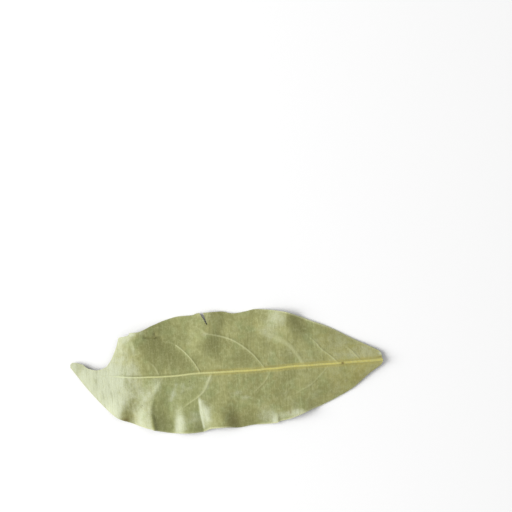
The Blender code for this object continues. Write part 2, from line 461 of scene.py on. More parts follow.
# %% Pleats
# Each pleat: its crest as (y, x), its height as (y, height), and the slopes that face the tip and
# the base, each as its width and how sharp its foot and its crest are, from 0 to 2. One that
# narrows inwards has its tip slope's width as (y, share).
PLEATS = [
    {"crest": [(-11, -28.8), (-7, -27.8), (-4, -26.8)],
     "height": [(-11.5, 1.3), (-9, 0.9), (-6.5, 0.35), (-4, 0)],
     "tip_slope": (6.0, 0.0, 0.0), "base_slope": (4.4, 0.3, 0.0)},
    {"crest": [(-14, -19.5), (-10, -19.75), (-6, -19.2), (-2, -17.0)],
     "height": [(-14, 1.4), (-10, 1.15), (-6, 0.6), (-3, 0.3), (0, 0)],
     "tip_slope": (5.4, 0.0, 0.6), "base_slope": (4.9, 0.0, 1.5)},
    {"crest": [(-14, -19.4), (-9.5, -19.75)], "height": [(-13.5, 0.3), (-11, 0.24), (-9.6, 0)],
     "tip_slope": (4.8, 0.6, 1.0), "base_slope": (0.5, 0.5, 1.0)},
    {"crest": [(-15, -10.9), (-8, -12.0)], "height": [(-15, 1.15), (-11, 0.6), (-7, 0)],
     "narrows": [(-15, 1.0), (-8, 0.35)],
     "tip_slope": (4.4, 0.4, 0.0), "base_slope": (6.0, 0.0, 0.0)},
    {"crest": [(-15, -4.5), (-10, -5.4), (-5.5, -7.0)],
     "height": [(-15, 0.8), (-10, 0.6), (-7, 0.25), (-5.2, 0)],
     "narrows": [(-15, 1.0), (-10, 0.9), (-6, 0.5)],
     "tip_slope": (2.5, 1.6, 0.0), "base_slope": (6.4, 0.0, 0.0)},
    {"crest": [(-15, -1.2), (-9, -1.8)], "height": [(-14.5, 1.1), (-12, 0.8), (-7, 0)],
     "tip_slope": (5.0, 0.0, 0.0), "base_slope": (4.2, 0.0, 0.3)},
    {"crest": [(-13, 19.4), (-8, 18.0)], "height": [(-13, 1.2), (-10.5, 0.8), (-7, 0)],
     "tip_slope": (14.0, 0.2, 0.8), "base_slope": (6.0, 0.0, 0.0)},
    {"crest": [(-13, 19.6), (-10, 18.5)], "height": [(-12.5, 0.7), (-11.5, 0.5), (-10.2, 0)],
     "tip_slope": (4.4, 0.8, 0.6), "base_slope": (4.0, 0.0, 0.0)},
    {"crest": [(-15, 12.2), (-12, 12.3)], "height": [(-14.2, 0.35), (-12.6, 0.15), (-11.3, 0)],
     "tip_slope": (3.0, 0.0, 1.6), "base_slope": (0.7, 0.5, 0.5)},
    {"crest": [(0, -17.6), (2, -19.2), (5, -20.8), (7, -22.3), (8.5, -23.3), (11, -22.5)],
     "height": [(0, 0), (2, 0.4), (5, 1.2), (8.5, 1.8), (11, 1.9)],
     "tip_slope": (11.0, 0.0, 0.2), "base_slope": (11.0, 0.0, 0.7)},
    {"crest": [(4, -6.2), (9, -4.8), (15, -3.4)],
     "height": [(2.5, 0), (6, 0.45), (10, 0.75), (15, 0.75)],
     "tip_slope": (5.5, 0.0, 0.3), "base_slope": (4.6, 0.0, 0.5)},
    {"crest": [(5, 18.2), (7.5, 17.2), (9.5, 16.5), (11, 16.1), (12.5, 16.0), (14, 16.3)],
     "height": [(4, 0), (7, 0.35), (11, 1.2), (14, 1.7)],
     "tip_slope": (8.5, 0.0, 0.6), "base_slope": (4.6, 0.0, 0.3)},
]
EVEN_WIDTH = [(-20, 1.0), (20, 1.0)]
PLEAT_WANDER = 0.5
PLEAT_WANDER_LENGTH = 6.0
SOFT_PLEAT_WIDTH = 4.0


def slope_at(slope, away):
    """1 on a pleat's crest, falling to 0 at the slope's foot."""
    width, foot, crest = slope
    t = 1 - np.clip(away / width, 0, 1)
    return foot * t * (1 - t) ** 2 + t**2 * (3 - 2 * t) - crest * t**2 * (1 - t)


def pleat_at(pleat, x, y):
    away = x - smooth(pleat["crest"], y)
    towards_tip = -away / smooth(pleat.get("narrows", EVEN_WIDTH), y)
    share = np.where(
        away < 0, slope_at(pleat["tip_slope"], towards_tip), slope_at(pleat["base_slope"], away)
    )
    return smooth(pleat["height"], y) * share


def waves_at(x, y, length):
    """Even noise from -1 to 1, with waves of about this length in millimetres."""
    return np.array([noise.noise((px / length, py / length, length)) for px, py in zip(x, y)])


def pleats_at(x, y):
    """All the pleats. Soft ones wander a little, as in a dried sheet, and sharp ones run true."""
    wander = PLEAT_WANDER * waves_at(x, y, PLEAT_WANDER_LENGTH)
    height = np.zeros(len(x))
    for pleat in PLEATS:
        narrowest = min(pleat["tip_slope"][0], pleat["base_slope"][0])
        height += pleat_at(pleat, x + wander * min(1, narrowest / SOFT_PLEAT_WIDTH), y)
    return height


highest = max(height for pleat in PLEATS for _, height in pleat["height"])
print(len(PLEATS), "pleats, the highest", highest, "mm")

# %% [markdown]
# ## Onto the leaf
# Small waves and fine ripples keep the blade from looking pressed, and the far margin by the base
# has curled up a little. Then every point of the grid moves to its place and height at once: edit
# mode could pull a pleat or two by hand, but not this many points in step.

# %% Move the points
CURL_FROM_X = 15.5
CURL_RISES_OVER = 2.0
CURL_TO_X = 27.0
CURL_FADES_OVER = 4.0
CURL_HEIGHT = 0.15
CURL_REACH = 0.4
SMALL_WAVES = [(4.5, 0.1), (1.6, 0.02)]  # as (length, height)
# Fine ripples that run across the leaf, with their height as (x, height).
RIPPLE_LENGTH = 1.4
RIPPLE_STRETCH = 6.0
RIPPLES = [(-40, 0.035), (-28, 0.06), (-14, 0.045), (-4, 0.015), (40, 0.01)]
FLOOR_SOFTNESS = 0.05  # how gently the blade settles on the floor instead of sinking below it


def curl_at(x, y):
    """How far the far margin has curled up."""
    inside_far_margin = np.clip(far_margin(x) - y, 0, None)
    starts = np.clip((x - CURL_FROM_X) / CURL_RISES_OVER, 0, 1)
    ends = np.clip((CURL_TO_X - x) / CURL_FADES_OVER, 0, 1)
    return CURL_HEIGHT * starts * ends * np.exp(-(inside_far_margin / CURL_REACH) ** 2)


def height_at(x, y):
    """The height of the blade's lower face in millimetres, never below the floor."""
    z = roof_at(x, y) + pleats_at(x, y) - wrinkle_at(x, y) + curl_at(x, y)
    for length, height in SMALL_WAVES:
        z = z + height * waves_at(x, y, length)
    z = z + smooth(RIPPLES, x) * waves_at(x, y / RIPPLE_STRETCH, RIPPLE_LENGTH)
    return (z + np.sqrt(z**2 + FLOOR_SOFTNESS**2)) / 2


grid = read_points(leaf.data)
x, y = place_on_blade(grid[:, 0], grid[:, 1])
x = open_tear(np.round((grid[:, 0] + 1) / 2 * COLUMNS), x, y)
z = height_at(x, y)
z -= z.min()
leaf.data.vertices.foreach_set("co", (np.column_stack((x, y, z)) * MM).ravel())
leaf.data.update()
print("blade's lower face is", round(float(z.max()), 2), "mm high")

# %% [markdown]
# ## Where the bloom and the painted light lie
# Bloom is the thin wax that whitens the underside. This mark carries it together with painted
# light. It is highest by the tip, partly as bloom and partly as a painted sheen where the tip faces
# the lamp. Slopes that face the tip get a painted highlight, and slopes that face the base a painted
# shade. It could be painted on by hand in texture paint, but as a number on each point it keeps to
# the pleats. Its patches and bands are partly bloom left by handling and partly painted highlight
# and shade on folds and creases.

# %% Bloom and painted light
# How thick the bloom lies along the leaf, with a painted sheen by the tip, as (x, thickness), where 1
# is full.
BLOOM_AND_SHEEN_ALONG = [
    (-40.0, 0.8), (-30.0, 0.8), (-24.0, 0.42), (-14.0, 0.05), (-8.0, 0.0), (12.0, 0.03),
    (24.0, 0.12), (36.0, 0.18),
]
PAINTED_LIGHT_ON_SLOPES = 0.6
STEEPEST_COUNTED = (-0.4, 0.5)
SLOPE_PROBE = 0.5  # how far to either side the slope is measured
# Patches of thicker bloom and painted highlight (above zero), and of worn bloom and painted shade
# (below zero), as the place, its half length and half width, and by how much.
BLOOM_AND_PAINTED_LIGHT_PATCHES = [
    (17.3, -11.7, 2.4, 0.9, 0.55), (11.6, -13.3, 0.9, 1.5, 0.6), (9.0, -11.8, 3.4, 2.2, 0.28),
    (13.4, -12.4, 1.0, 1.2, 0.3), (14.0, 12.8, 2.4, 2.0, 0.38), (11.0, 9.4, 3.2, 1.6, 0.2),
    (2.2, -5.6, 1.6, 0.7, 0.35), (4.4, -7.0, 1.4, 0.6, 0.35), (-5.9, -10.6, 1.4, 3.6, 0.4),
    (-5.0, 9.7, 1.2, 0.8, 0.45), (-3.0, 13.6, 1.0, 1.6, 0.15), (39.5, 2.0, 0.5, 0.4, 0.6),
    (39.6, 0.2, 0.5, 0.4, 0.6), (-13.0, -13.4, 2.0, 2.2, 0.42), (-12.6, -10.6, 1.2, 1.6, 0.3),
    (-9.0, -11.5, 1.7, 3.0, 0.55), (-23.7, 10.9, 0.7, 0.4, 0.5), (-11.0, -3.5, 3.5, 1.8, 0.15),
    (33.5, 2.2, 4.0, 1.3, 0.2), (30.0, 5.5, 6.0, 1.8, 0.1), (36.0, 3.5, 2.0, 1.0, 0.15),
    (5.0, -10.8, 1.8, 2.2, -0.4), (4.6, -13.8, 2.4, 1.6, -0.5), (-26.6, -9.6, 1.7, 2.6, -0.5),
    (-17.5, 5.6, 5.4, 4.0, -0.75), (-11.5, 3.0, 3.0, 2.2, -0.42), (-17.3, -10.5, 2.4, 3.6, -0.25),
    (-26.0, 5.0, 3.0, 4.0, -0.18), (1.3, -11.5, 1.8, 3.0, -0.35), (-2.4, 6.8, 2.4, 2.8, -0.45),
    (4.5, 3.0, 3.5, 2.5, -0.5), (18.3, 10.0, 1.8, 2.6, -0.12), (-6.4, 7.4, 1.6, 2.8, -0.25),
    (-12.5, 12.4, 4.0, 1.6, -0.2), (25.0, -4.0, 8.0, 3.0, -0.06),
]
# Bands along veins and creases, mostly painted highlight and one painted shade, as the points, the half
# width, and by how much.
BLOOM_AND_PAINTED_LIGHT_BANDS = [
    ([(19.6, 0.6), (18.2, 3.0), (16.7, 5.2), (15.2, 6.4), (12.8, 7.9), (10.4, 8.9),
      (8.3, 10.6)], 1.0, 0.12),
    ([(-4.1, -0.6), (-5.6, -3.7), (-7.4, -5.7)], 0.7, 0.3),
    ([(-16.6, -1.0), (-17.7, -2.1), (-20.0, -5.0), (-22.2, -6.1)], 0.8, 0.16),
    ([(-12.9, -1.8), (-14.2, -5.0), (-15.0, -7.0)], 0.6, 0.32),
    ([(-11.2, -2.0), (-12.4, -6.5)], 0.5, 0.16),
    ([(-16.0, -2.0), (-17.2, -8.0)], 0.7, -0.25),
    ([(-7.6, -5.6), (-7.2, -9.5), (-6.8, -14.6)], 0.3, 0.5),
    ([(-7.0, -6.6), (-6.3, -9.5), (-5.6, -12.6)], 0.7, 0.24),
]
BAND_ENDS = 12  # how quickly a band starts and stops


def spread(places, x, y):
    """The sum of soft round spots, each as its place, its two half widths and its strength."""
    total = np.zeros(len(x))
    for place_x, place_y, half_length, half_width, strength in places:
        off = ((x - place_x) / half_length) ** 2 + ((y - place_y) / half_width) ** 2
        total += strength * np.exp(-off)
    return total


rise = pleats_at(x + SLOPE_PROBE, y) - pleats_at(x - SLOPE_PROBE, y)
slope_to_tip = rise / (2 * SLOPE_PROBE)
# Slopes that face the tip face the lamp and get painted highlight. Slopes that face the base get
# painted shade.
bloom_and_painted_light = smooth(BLOOM_AND_SHEEN_ALONG, x) + PAINTED_LIGHT_ON_SLOPES * np.clip(slope_to_tip, *STEEPEST_COUNTED)
bloom_and_painted_light += spread(BLOOM_AND_PAINTED_LIGHT_PATCHES, x, y)
for points, half_width, amount in BLOOM_AND_PAINTED_LIGHT_BANDS:
    distance, _, share = nearest_on([points], x, y)
    bloom_and_painted_light += amount * np.exp(-(distance / half_width) ** 2) * away_from_ends(share, BAND_ENDS)
print("bloom runs from", round(float(bloom_and_painted_light.min()), 2), "to", round(float(bloom_and_painted_light.max()), 2))

# %% [markdown]
# ## Marks on the points
# The finish follows the veins, wrinkles and margins, so each point also carries how far they are
# and how strong. Masks painted as pictures would blur such thin lines. The very edge has gone
# paler in places, and a few spots have gone brown. A few more spots are painted shade, in valleys
# and beside the midrib.

# %% Marks for the finish
# How much paler the very edge is, as (x, share): the far margin's, and the near one's.
FAR_EDGE_LIGHT = [
    (-40, 0.2), (-28, 0.3), (-20, 0.1), (8, 0.1), (15, 0.5), (17, 0.9), (25, 0.7), (28, 0.35),
    (40, 0.3),
]
NEAR_EDGE_LIGHT = [
    (-40, 0.4), (-28, 0.3), (-20, 0.5), (-8, 0.5), (-4, 0.9), (-1, 0.9), (1.5, 0.1), (6, 0.1),
    (8.5, 0.9), (11.5, 0.9), (18, 0.7), (22, 0.8), (24, 0.1), (40, 0.0),
]
# Brown spots, some of them painted shade in valleys and beside the midrib, as the place, the half
# length and half width, and how brown.
BROWN_AND_SHADE_SPOTS = [
    (-26.7, -10.9, 0.9, 0.6, 0.9), (-26.6, -9.8, 1.4, 1.4, 0.05), (29.65, 0.25, 0.42, 0.32, 1.2),
    (15.65, -11.4, 0.25, 0.55, 0.8), (1.2, -12.8, 1.6, 1.8, 0.35), (-18.0, 10.4, 0.5, 0.9, 0.4),
    (39.3, 1.15, 0.6, 0.14, 0.7), (-16.7, -11.5, 1.8, 2.0, 0.05), (36.8, -2.6, 0.8, 0.5, 0.2),
    (-1.5, 0.42, 2.2, 0.28, 0.4), (11.5, 0.55, 1.8, 0.22, 0.4), (6.0, -0.6, 1.2, 0.2, 0.2),
]
# The midrib, as (x, half width), and how far its sides wander.
MIDRIB_HALF_WIDTH = [
    (-40.0, 0.12), (-30.0, 0.17), (-20.0, 0.2), (-4.0, 0.26), (15.0, 0.28), (30.0, 0.3),
    (40.0, 0.33),
]
RIB_WANDER = 0.07
RIB_WANDER_LENGTH = 2.5
FARTHEST_MARKED = 10


def edge_distance_at(x, y):
    far = np.column_stack((stations, far_margin(stations)))
    near = np.column_stack((stations, near_margin(stations)))
    ends = [[far[0], near[0]], [far[-1], near[-1]]]
    return nearest_on([far, near, *ends], x, y)[0]


def add_mark(mesh, name, values):
    mark = mesh.attributes.new(name, "FLOAT", "POINT")
    mark.data.foreach_set("value", values)


from_vein, vein_strength = side_vein_at(x, y)
from_rib = y - smooth(MIDRIB_LINE, x) + RIB_WANDER * waves_at(x, y, RIB_WANDER_LENGTH)
from_rib = from_rib / smooth(MIDRIB_HALF_WIDTH, x)
edge_light = np.where(from_rib > 0, smooth(FAR_EDGE_LIGHT, x), smooth(NEAR_EDGE_LIGHT, x))
MARKS = {
    "from_vein": np.clip(from_vein, 0, FARTHEST_MARKED),
    "vein_strength": vein_strength,
    "wrinkle": wrinkle_at(x, y),
    "bloom_and_painted_light": bloom_and_painted_light,
    "brown_and_shade": spread(BROWN_AND_SHADE_SPOTS, x, y),
    "from_rib": np.clip(from_rib, -FARTHEST_MARKED, FARTHEST_MARKED),
    "from_edge": edge_distance_at(x, y),
    "edge_light": edge_light,
}
for name, values in MARKS.items():
    add_mark(leaf.data, name, values)
print("marks:", list(MARKS))

# %% [markdown]
# ## Thickness
# A dried bay leaf is about 0.3 mm thick. Solidify gives the sheet that thickness upwards, and more
# where a vein runs: the veins stand proud of the underside only, so the hidden face stays plain.
# Extruding the faces would do the same, but only with one thickness for all of them.

# %% Thickness of each point
BLADE_THICK = 0.3
MIDRIB_RISE = 0.42
SIDE_VEIN_RISE = 0.13
# How far the relief of each spreads, in its half widths.
RIB_SPREAD = 1.3
VEIN_SPREAD = 1.3
# How much of its rise the midrib has, as (x, share).
MIDRIB_STRENGTH = [(-34.0, 0.0), (-29.0, 0.25), (-20.0, 0.4), (0.0, 0.75), (40.0, 1.0)]

rib = smooth(MIDRIB_STRENGTH, x) * np.clip(1 - (from_rib / RIB_SPREAD) ** 2, 0, None)
side_vein = vein_strength * np.exp(-(from_vein / VEIN_SPREAD) ** 2)
thickness = BLADE_THICK + MIDRIB_RISE * rib + SIDE_VEIN_RISE * side_vein * (1 - rib)
full_thickness = float(thickness.max())
group = leaf.vertex_groups.new(name="thickness")
for index, share in enumerate(thickness / full_thickness):
    group.add([index], float(share), "REPLACE")
print("blade is", BLADE_THICK, "mm thick, and", round(full_thickness, 2), "mm at its thickest")

# %% [markdown]
# ## The flat map
# A baked finish needs a flat map. The sheet already is one, so its places along and across the leaf
# are laid out as the map before it is thickened. Unwrapping it afterwards would stretch the pleats
# and cut the faces apart.

# %% The sheet's own map
MAP_NAME = "OFBake"
MAP_MARGIN = 0.02
MAP_SCALE = (1 - 2 * MAP_MARGIN) / (BASE_X - TIP_X)
flat_map = leaf.data.uv_layers.new(name=MAP_NAME)
corners = np.empty(len(leaf.data.loops), int)
leaf.data.loops.foreach_get("vertex_index", corners)
flat_u = MAP_MARGIN + (x - TIP_X) * MAP_SCALE
flat_v = MAP_MARGIN + (y - y.min()) * MAP_SCALE
flat_map.data.foreach_set("uv", np.column_stack((flat_u, flat_v))[corners].ravel())
print("map is", round(float(flat_v.max() - flat_v.min()), 2), "high for each face of the leaf")

# %% [markdown]
# ## From sheet to leaf
# Solidify turns the sheet into a closed leaf, and sorts its faces: the underside, the upper face
# and the rim between them each get a slot of their own, for a finish of their own. Two copies of
# the sheet could be bridged at their borders instead, in more steps.

# %% Thicken
SMOOTH_UNDER = radians(60)
UNDERSIDE, UPPER_FACE, RIM = range(3)
for slot in range(3):
    leaf.data.materials.append(None)
shell = leaf.modifiers.new("thickness", "SOLIDIFY")
shell.thickness = full_thickness * MM
shell.offset = 1.0
shell.vertex_group = group.name
shell.material_offset = UPPER_FACE
shell.material_offset_rim = RIM
bpy.ops.object.modifier_apply(modifier=shell.name)
bpy.ops.object.shade_smooth_by_angle(angle=SMOOTH_UNDER)
slots = np.empty(len(leaf.data.polygons), int)
leaf.data.polygons.foreach_get("material_index", slots)
normals = np.array([face.normal.z for face in leaf.data.polygons])
for slot in range(3):
    print("slot", slot, "has", int((slots == slot).sum()), "faces, mean normal z",
          round(float(normals[slots == slot].mean()), 2))

# %% [markdown]
# ## Room on the map
# Both faces still lie on the same part of the map. The upper face moves to a strip above the
# underside's, and each face of the rim gets a small cell in three rows, in order round the leaf. A
# packing operator could place the cells too, but would mix them up.

# %% Strips and cells
STRIP_STEP = (y.max() - y.min()) * MAP_SCALE + MAP_MARGIN
RIM_ROWS = 3
RIM_CELL_FILL = 0.8

map_layer = leaf.data.uv_layers[MAP_NAME]
places = np.empty(len(leaf.data.loops) * 2)
map_layer.data.foreach_get("uv", places)
places = places.reshape(-1, 2)
loop_starts = np.array([face.loop_start for face in leaf.data.polygons])
loop_counts = np.array([face.loop_total for face in leaf.data.polygons])
places[np.repeat(slots == UPPER_FACE, loop_counts), 1] += STRIP_STEP

rim_faces = np.flatnonzero(slots == RIM)
rim_centres = np.array([leaf.data.polygons[index].center[:2] for index in rim_faces])
rim_faces = rim_faces[np.argsort(np.arctan2(rim_centres[:, 1], rim_centres[:, 0]))]
cells_in_row = int(np.ceil(len(rim_faces) / RIM_ROWS))
cell_width = (1 - 2 * MAP_MARGIN) / cells_in_row
rim_bottom = MAP_MARGIN + 2 * STRIP_STEP
cell_height = (1 - MAP_MARGIN - rim_bottom) / RIM_ROWS
cell_corners = np.array([(0, 0), (1, 0), (1, 1), (0, 1)]) * RIM_CELL_FILL
for number, index in enumerate(rim_faces):
    row, column = divmod(number, cells_in_row)
    low_corner = (MAP_MARGIN + column * cell_width, rim_bottom + row * cell_height)
    start = loop_starts[index]
    end = start + len(cell_corners)
    places[start:end] = cell_corners * (cell_width, cell_height) + low_corner
map_layer.data.foreach_set("uv", places.ravel())
print("map strips end at", round(float(places[:, 1].max()), 2), "with", len(rim_faces), "rim cells")

# %% [markdown]
# ## How near it keeps to the plain leaf
# The plain leaf is the one that moves and collides. This finished one may stray from it only a
# little, so the farthest point from its surface is measured. Every seventh point is enough for
# that, and takes a seventh of the time.

# %% Measure against the plain leaf
MEASURE_EVERY = 7

plain_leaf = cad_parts["bay_leaf"]
to_plain = plain_leaf.matrix_world.inverted()
strays = []
for vertex in list(leaf.data.vertices)[::MEASURE_EVERY]:
    place = to_plain @ vertex.co
    _, nearest, *_ = plain_leaf.closest_point_on_mesh(place)
    strays.append((place - nearest).length)
print("farthest from the plain leaf:", round(max(strays) / MM, 2), "mm, mean",
      round(sum(strays) / len(strays) / MM, 2), "mm")

# %% [markdown]
# ## How a finish is built up
# A finish is a stack of coats, laid like washes of paint: each is a colour, and a share that says
# where it shows and how much. They could be linked by hand in the shader editor, but there are
# dozens, so a few short helpers add a node, a coat, and the soft step that gives a coat its share.

# %% Helpers for finishes
def add_node(material, kind, inputs=None, **settings):
    """A node with its settings made and its sockets set or linked, by name or number."""
    node = material.node_tree.nodes.new(kind)
    for name, value in settings.items():
        setattr(node, name, value)
    for socket, value in (inputs or {}).items():
        if isinstance(value, bpy.types.NodeSocket):
            material.node_tree.links.new(value, node.inputs[socket])
        else:
            node.inputs[socket].default_value = value
    return node


def shader_of(material):
    return material.node_tree.nodes["Principled BSDF"]


def drive(material, socket, value):
    """Lets a pattern set one of the shader's sockets."""
    material.node_tree.links.new(value, shader_of(material).inputs[socket])


def object_place(material):
    return add_node(material, "ShaderNodeTexCoord").outputs["Object"]


def mark_of(material, name):
    return add_node(material, "ShaderNodeAttribute", attribute_name=name).outputs["Fac"]


def sum_of(material, first, second):
    return add_node(material, "ShaderNodeMath", {0: first, 1: second}).outputs[0]


def product(material, first, second):
    return add_node(material, "ShaderNodeMath", {0: first, 1: second}, operation="MULTIPLY").outputs[0]


def ramp(material, value, low, high, start=0.0, end=1.0):
    """start below low, end above high, and a soft step between."""
    sockets = {"Value": value, "From Min": low, "From Max": high, "To Min": start, "To Max": end}
    node = add_node(material, "ShaderNodeMapRange", sockets, interpolation_type="SMOOTHSTEP")
    return node.outputs["Result"]


def ramp_along(material, along, low, high, start, end):
    """A soft step between two places along the leaf, which are in millimetres."""
    return ramp(material, along, low * MM, high * MM, start, end)


def start_colour(material, colour):
    node = add_node(material, "ShaderNodeRGB")
    node.outputs[0].default_value = (*colour, 1.0)
    return node.outputs[0]


def lay_over(material, under, colour, share):
    """Another colour over this one, by a share that varies over the surface."""
    sockets = {0: share, 6: under, 7: (*colour, 1.0)}
    return add_node(material, "ShaderNodeMix", sockets, data_type="RGBA").outputs[2]


def say_nodes(material):
    print(material.name, "has", len(material.node_tree.nodes), "nodes so far")


# %% [markdown]
# ## Patterns
# Patches and grain are soft noise of different sizes. The net of the finest veins is a pattern of
# cells, and noise bends its lines, because straight ones would look like cracked mud. A picture of
# a leaf could give both, but would show its own light and repeat.

# %% Patterns
NET_SIZE = 0.8
NET_LINE = (0.0, 0.16, 1.0, 0.0)
NOISE_MIDDLE = (0.5, 0.5, 0.5)
EVEN_STRETCH = (1, 1, 1)


def speckle(material, place, size, detail=2.0, stretch=EVEN_STRETCH, turn=0.0):
    """Soft noise with features of about this size in millimetres."""
    mapping = {"Vector": place, "Scale": stretch, "Rotation": (0, 0, turn)}
    mapped = add_node(material, "ShaderNodeMapping", mapping).outputs["Vector"]
    sockets = {"Vector": mapped, "Scale": 1 / (size * MM), "Detail": detail}
    return add_node(material, "ShaderNodeTexNoise", sockets).outputs["Fac"]


def fine_net(material, place, size):
    """The net of the finest veins: 1 on a vein, 0 between."""
    sockets = {"Vector": place, "Scale": 1 / (size * MM)}
    wander = add_node(material, "ShaderNodeTexNoise", sockets).outputs["Color"]
    sockets = {0: wander, 1: NOISE_MIDDLE}
    centred = add_node(material, "ShaderNodeVectorMath", sockets, operation="SUBTRACT").outputs[0]
    sockets = {0: centred, 1: (size * MM,) * 3, 2: place}
    moved = add_node(material, "ShaderNodeVectorMath", sockets, operation="MULTIPLY_ADD").outputs[0]
    cells = add_node(
        material,
        "ShaderNodeTexVoronoi",
        {"Vector": moved, "Scale": 1 / (size * MM)},
        voronoi_dimensions="2D",
        feature="DISTANCE_TO_EDGE",
    )
    return ramp(material, cells.outputs["Distance"], *NET_LINE)


def raised(material, height, distance, normal=None):
    """The surface's normal where this pattern stands up by this many millimetres."""
    sockets = {"Height": height, "Distance": distance * MM}
    if normal:
        sockets["Normal"] = normal
    return add_node(material, "ShaderNodeBump", sockets).outputs["Normal"]


print("net has cells of", NET_SIZE, "mm")

# %% [markdown]
# ## Underside: the blade
# A dried blade isn't one green. Olive, mossy and warm patches run into each other over a few
# millimetres, the near side towards the tip has stayed greener, and the base has gone warmer. One
# noise between two greens would look like camouflage, so coats of different sizes are stacked.

# %% Underside, its patches
BLADE_ROUGHNESS = (0.52, 0.66)
BLADE_SHINE = 0.35
SAGE = (0.326, 0.326, 0.128)
OLIVE = (0.210, 0.211, 0.073)
MOSS = (0.250, 0.300, 0.120)
WARM = (0.355, 0.318, 0.118)
HALO = (0.395, 0.352, 0.096)
CREAM = (0.450, 0.460, 0.230)
# Noise, as its size, detail, stretch and turn.
PATCHES = (5.0, 3.0)
MOSS_PATCHES = (3.6, 2.0)
WARM_PATCHES = (4.0, 4.0)
MOTTLES = (0.9, 1.0)
# A soft step, as the pattern's values where it starts and ends, and the coat's share before and
# after it. Steps along the leaf are in millimetres, and steps beside the midrib in its half widths.
OLIVE_SHOWS = (0.38, 0.62, 0.05, 0.68)
MOSS_SHOWS = (0.46, 0.66, 0.0, 0.5)
WARM_SHOWS = (0.52, 0.7, 0.0, 0.38)
GREEN_STARTS = (-24, -16, 0.0, 0.42)
GREEN_ENDS = (-10, 0, 1.0, 0.0)
GREEN_BESIDE = (-8.0, 2.0, 1.0, 0.3)
WARM_BASE = (20, 38, 0.0, 0.6)
PALE_MOTTLES = (0.5, 0.72, 0.0, 0.2)
DARK_MOTTLES = (0.5, 0.28, 0.0, 0.3)

under = plain_material("underside", SAGE, BLADE_ROUGHNESS[1])
shader_of(under).inputs["Specular IOR Level"].default_value = BLADE_SHINE
place = object_place(under)
along = add_node(under, "ShaderNodeSeparateXYZ", {0: place}).outputs["X"]
beside = mark_of(under, "from_rib")
patches = speckle(under, place, *PATCHES)
moss = speckle(under, place, *MOSS_PATCHES)
warm = speckle(under, place, *WARM_PATCHES)
mottles = speckle(under, place, *MOTTLES)

colour = start_colour(under, SAGE)
colour = lay_over(under, colour, OLIVE, ramp(under, patches, *OLIVE_SHOWS))
colour = lay_over(under, colour, MOSS, ramp(under, moss, *MOSS_SHOWS))
colour = lay_over(under, colour, WARM, ramp(under, warm, *WARM_SHOWS))
green = product(
    under, ramp_along(under, along, *GREEN_STARTS), ramp_along(under, along, *GREEN_ENDS)
)
green = product(under, green, ramp(under, beside, *GREEN_BESIDE))
colour = lay_over(under, colour, MOSS, green)
colour = lay_over(under, colour, HALO, ramp_along(under, along, *WARM_BASE))
colour = lay_over(under, colour, CREAM, ramp(under, mottles, *PALE_MOTTLES))
colour = lay_over(under, colour, OLIVE, ramp(under, mottles, *DARK_MOTTLES))
say_nodes(under)

# %% [markdown]
# ## Underside: bloom and painted light
# The mark says how thick the bloom and the painted sheen lie, but a coat that followed it alone
# would look sprayed on. Wax wears off the high grain first, so grain, rubs and wide clouds are added
# to the mark before its soft step. Below zero the blade is darker, as worn bloom and as painted shade
# on the slopes that face away from the lamp.

# %% Underside, its bloom and painted light
BLOOM_AND_SHEEN = (0.535, 0.568, 0.402)
GRAIN = (0.3, 3.0)
RUBS = (1.6, 3.0, (0.6, 1.0, 1.0), radians(20))
CLOUDS = (3.2, 2.0, (1.0, 0.55, 1.0))
GRAIN_OR_RUBS = 0.5
CLOUDS_ADD = (0.3, 0.7, -0.2, 0.2)
CLOUDS_FADE = (-22, -4, 1.0, 0.35)
WEAR_AND_PAINTED_SHADE_SHOWS = (0.0, -0.5, 0.0, 0.8)
BLOOM_AND_SHEEN_SHOWS = (0.5, 1.45, 0.0, 0.97)
RUBS_SHOW = (0.64, 0.78, 0.0, 0.3)

grain = speckle(under, place, *GRAIN)
rubs = speckle(under, place, *RUBS)
clouds = ramp(under, speckle(under, place, *CLOUDS), *CLOUDS_ADD)
clouds = product(under, clouds, ramp_along(under, along, *CLOUDS_FADE))
mottled = add_node(under, "ShaderNodeMix", {0: GRAIN_OR_RUBS, 2: grain, 3: rubs}).outputs[0]
bloom_and_painted_light_mark = mark_of(under, "bloom_and_painted_light")
bloom_and_sheen_share = sum_of(under, bloom_and_painted_light_mark, sum_of(under, mottled, clouds))
# Worn bloom and painted shade: olive where the mark is below zero.
colour = lay_over(under, colour, OLIVE, ramp(under, bloom_and_painted_light_mark, *WEAR_AND_PAINTED_SHADE_SHOWS))
# Bloom and painted sheen: whitish where the mark is high.
colour = lay_over(under, colour, BLOOM_AND_SHEEN, ramp(under, bloom_and_sheen_share, *BLOOM_AND_SHEEN_SHOWS))
colour = lay_over(under, colour, CREAM, ramp(under, rubs, *RUBS_SHOW))
say_nodes(under)

# %% [markdown]
# ## Underside: streaks, net and flecks
# Fine streaks run across the leaf, in some parts more than in others. The net of the finest veins
# is paler than the blade, and a few dark flecks lie on it. Scratches painted one by one would take
# all day, and noise that is stretched across the leaf gives the same.

# %% Underside, its streaks, net and flecks
FLECK = (0.120, 0.100, 0.045)
STREAKS = (0.42, 2.0, (1.0, 0.12, 1.0), radians(4))
STREAKY_PARTS = (7.0, 2.0)
FLECKS = (0.8, 1.0)
STREAKY_SHOWS = (0.4, 0.6, 0.3, 1.0)
PALE_STREAKS = (0.5, 0.72, 0.0, 0.26)
DARK_STREAKS = (0.5, 0.28, 0.0, 0.34)
NET_SHOWS = (0.3, 0.7, 0.0, 0.35)
FLECKS_SHOW = (0.78, 0.84)

